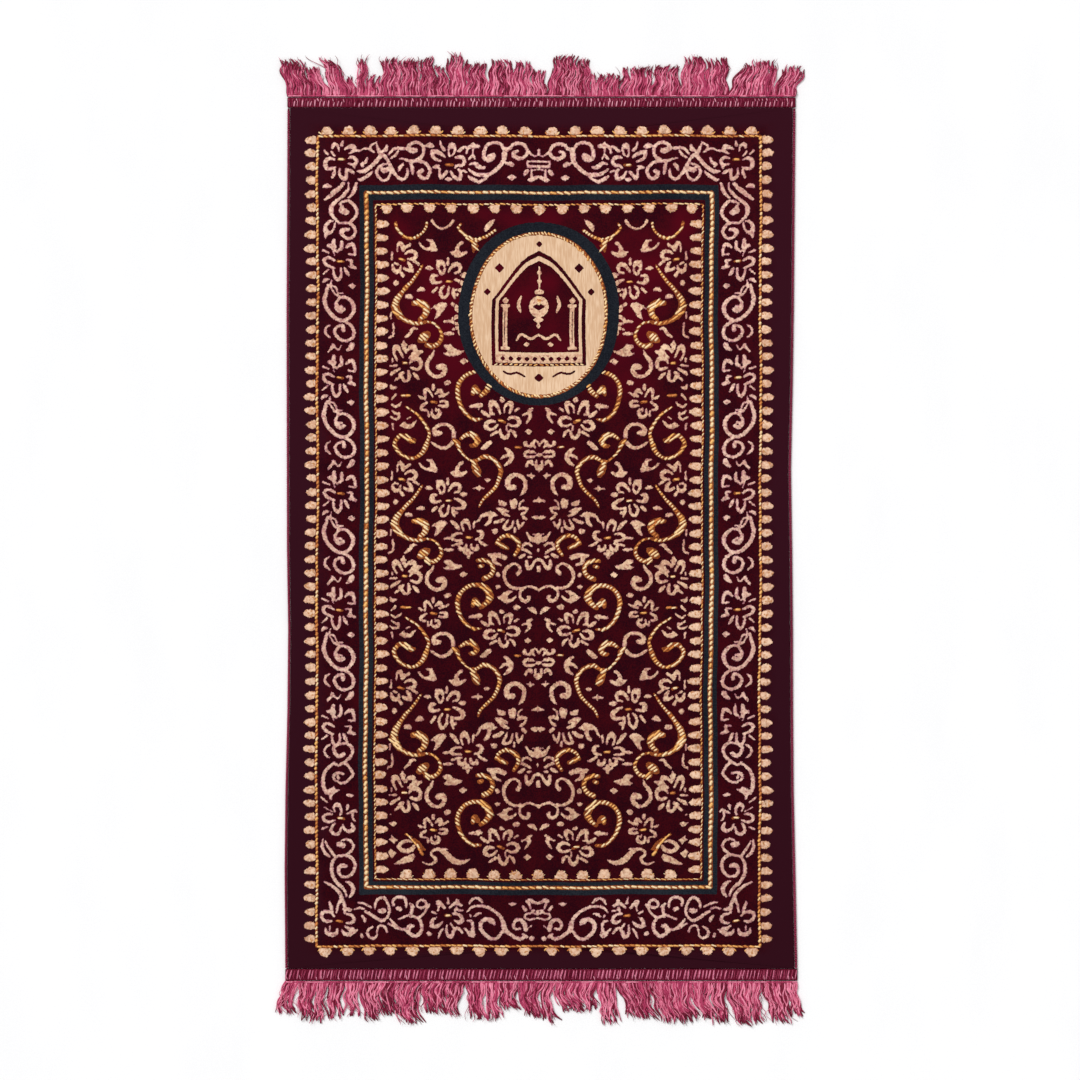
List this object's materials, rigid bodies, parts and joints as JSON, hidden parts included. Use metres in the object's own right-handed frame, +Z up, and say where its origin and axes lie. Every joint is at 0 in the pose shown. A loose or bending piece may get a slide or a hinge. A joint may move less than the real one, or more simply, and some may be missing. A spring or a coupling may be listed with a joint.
{
  "type": "prayer rug",
  "caption": "Flat velvet-pile prayer rug with serged side edges, overlocked ends and a loose yarn fringe at each end.",
  "frame": {"origin": "centre of the cloth's flat underside, on the floor", "axes": "+Z up out of the pile, +Y along the rug towards the niche end, +X across it to the right seen from above"},
  "size_m": [0.7164, 1.3357, 0.0046],
  "materials": {
    "velvet_pile": "dark maroon cut pile with a beige, gold and slate floral pattern woven in, soft sheen",
    "serging_thread": "rose whip stitching in a glossy twisted thread",
    "fringe_yarn": "loose crinkled rose-pink yarn, soft sheen"
  },
  "bodies": {
    "root": {"rug_cloth": "velvet_pile", "selvedge_left": "serging_thread", "selvedge_right": "serging_thread", "end_binding_top": "serging_thread", "end_binding_bottom": "serging_thread", "fringe_top": "fringe_yarn", "fringe_bottom": "fringe_yarn"}
  },
  "joints": []
}
